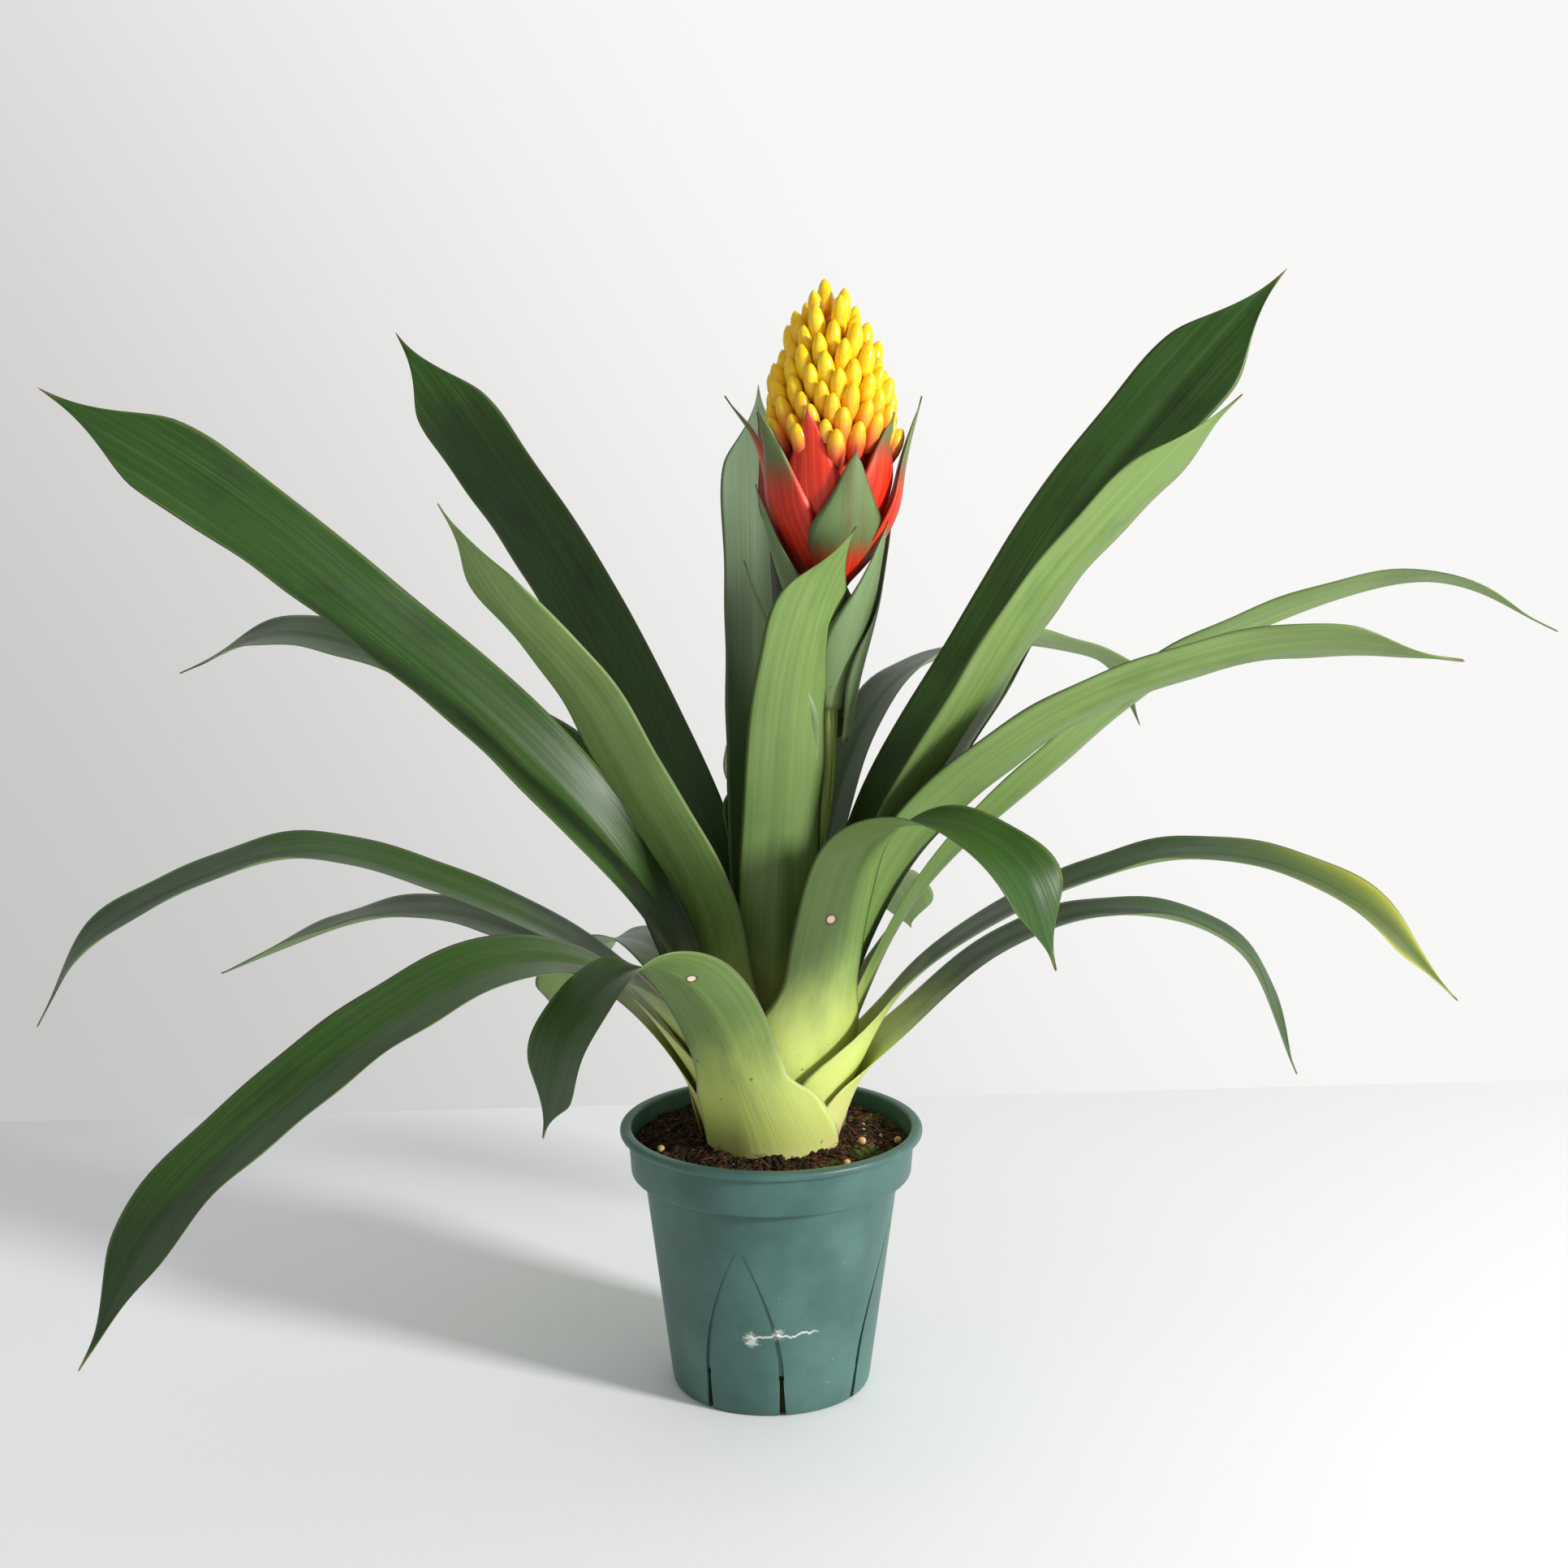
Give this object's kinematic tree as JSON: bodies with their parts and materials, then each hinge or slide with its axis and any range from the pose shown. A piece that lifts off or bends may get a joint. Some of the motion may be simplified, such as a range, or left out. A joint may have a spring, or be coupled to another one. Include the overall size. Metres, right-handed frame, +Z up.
{
  "type": "potted bromeliad",
  "caption": "Bromeliad in flower in a round nursery pot: arching strap leaves, red bracts and a cone of yellow buds.",
  "frame": {"origin": "on the pot's axis, at the surface it stands on", "axes": "+Z up along the pot's axis; -Y is the side with the two folded front leaves; +X to the right of it, the way the flower head stands off the axis"},
  "size_m": [0.7336, 0.5195, 0.557],
  "materials": {
    "pot": "moulded green plastic, soft sheen",
    "soil": "damp peat potting mix with bark and perlite",
    "leaf": "waxy leaf, dark above, paler and duller below",
    "flower_stem": "pale green stem",
    "stem_bract": "pale green bract with brown tip",
    "head_bract": "red bract with green tip",
    "bud": "waxy yellow bud, orange at its foot"
  },
  "bodies": {
    "root": {"stem_bract_1": "stem_bract", "stem_bract_2": "stem_bract", "stem_bract_3": "stem_bract", "stem_bract_4": "stem_bract", "stem_bract_5": "stem_bract", "stem_bract_6": "stem_bract", "head_bract_1": "head_bract", "head_bract_2": "head_bract", "head_bract_3": "head_bract", "head_bract_4": "head_bract", "head_bract_5": "head_bract", "head_bract_6": "head_bract", "head_bract_7": "head_bract", "head_bract_8": "head_bract", "head_bract_9": "head_bract", "head_bract_10": "head_bract", "flower_head": "bud", "leaf_back_tall": "leaf", "leaf_front_upright": "leaf", "leaf_back_young": "leaf", "leaf_back_right_arched": "leaf", "leaf_left_tall_back": "leaf", "leaf_right_tall": "leaf", "leaf_left_short": "leaf", "leaf_right_steep": "leaf", "leaf_left_long": "leaf", "leaf_right_front_long": "leaf", "leaf_back_left_arched": "leaf", "leaf_right_long": "leaf", "leaf_front_left_long": "leaf", "leaf_back_drooping": "leaf", "leaf_front_right_folded": "leaf", "leaf_left_arched": "leaf", "leaf_right_yellowing": "leaf", "leaf_left_arched_far": "leaf", "leaf_right_narrow": "leaf", "leaf_back_left_low": "leaf", "leaf_front_left_folded": "leaf", "leaf_back_low": "leaf", "flower_stem": "flower_stem", "pot": "pot", "soil": "soil"}
  },
  "joints": []
}
